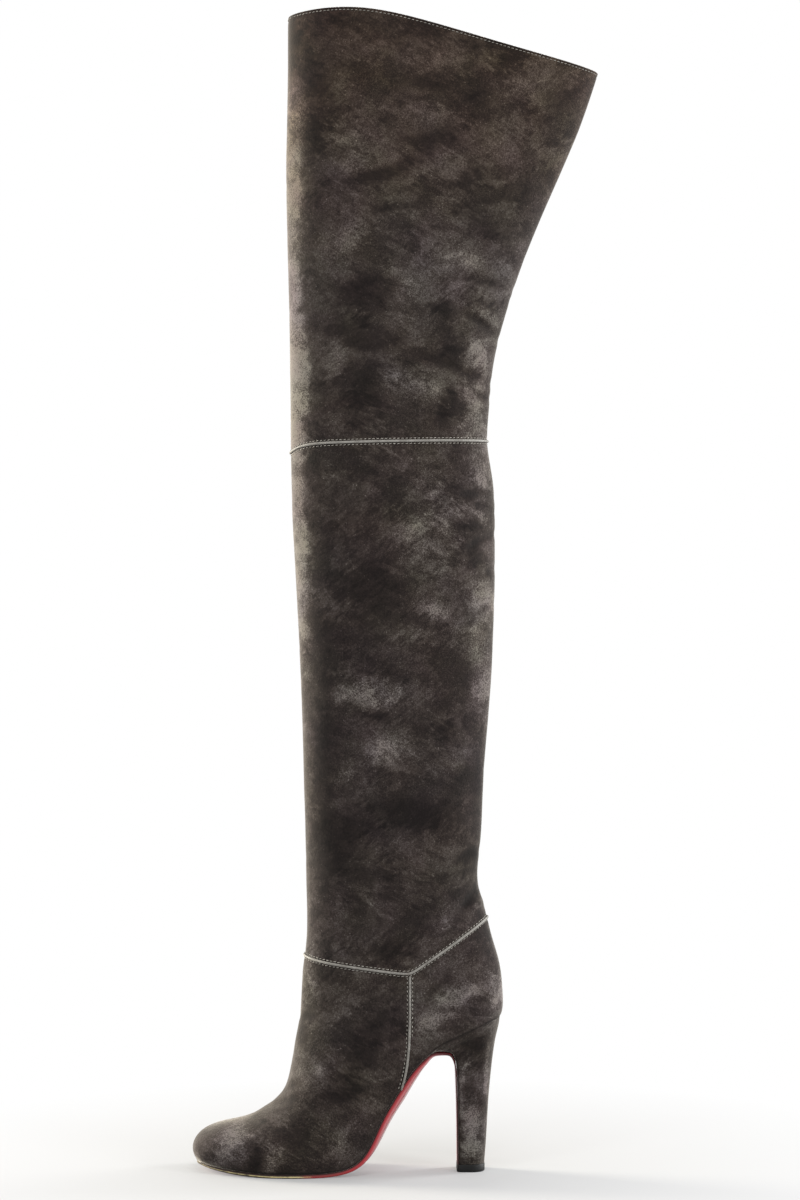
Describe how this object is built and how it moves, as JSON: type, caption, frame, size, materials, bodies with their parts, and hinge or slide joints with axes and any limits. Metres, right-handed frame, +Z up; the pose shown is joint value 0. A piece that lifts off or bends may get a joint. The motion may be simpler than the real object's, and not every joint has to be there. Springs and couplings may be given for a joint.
{
  "type": "over-the-knee boot",
  "caption": "Tall suede over-the-knee boot with a rounded toe, pale piped seams, a high covered heel and a thin red leather sole, standing on its forefoot and heel.",
  "frame": {"origin": "on the floor under the middle of the boot's bounding box", "axes": "+Z up along the leg, toe towards -X, outer side of the left leg towards -Y"},
  "size_m": [0.2881, 0.084, 0.819],
  "materials": {
    "suede": "brushed nap, matt, dark grey brown",
    "piping_leather": "matt, pale grey",
    "sole_leather": "satin red, worn at the forefoot edge",
    "lift_rubber": "matt black",
    "insole_leather": "plain tan"
  },
  "bodies": {
    "root": {"outsole": "sole_leather", "insole": "insole_leather", "heel": "suede", "top_lift": "lift_rubber", "upper": "suede", "leg_shaft": "suede", "thigh_shaft": "suede", "ankle_piping": "piping_leather", "knee_piping": "piping_leather", "outer_side_piping": "piping_leather", "inner_side_piping": "piping_leather"}
  },
  "joints": []
}
